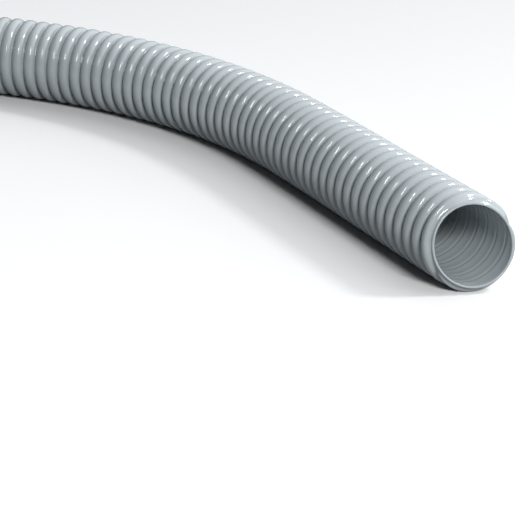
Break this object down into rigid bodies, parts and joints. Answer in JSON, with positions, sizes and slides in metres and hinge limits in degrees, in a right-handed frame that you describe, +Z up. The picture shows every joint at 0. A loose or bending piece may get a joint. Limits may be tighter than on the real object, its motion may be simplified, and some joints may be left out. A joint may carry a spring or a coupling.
{
  "type": "reinforced plastic conduit",
  "caption": "Flexible grey plastic cable conduit, half a metre long, ribbed outside and smooth inside, open at both ends and lying in one long bend.",
  "frame": {"origin": "on the floor under the middle of the part's box", "axes": "+Z up, +X the way the near mouth opens, along the straight stretch behind it; the far mouth opens towards -X and -Y"},
  "size_m": [0.4223, 0.2438, 0.0385],
  "materials": {
    "conduit": "smooth, slightly soft grey PVC with a gloss"
  },
  "bodies": {
    "root": {"conduit": "conduit"}
  },
  "joints": []
}
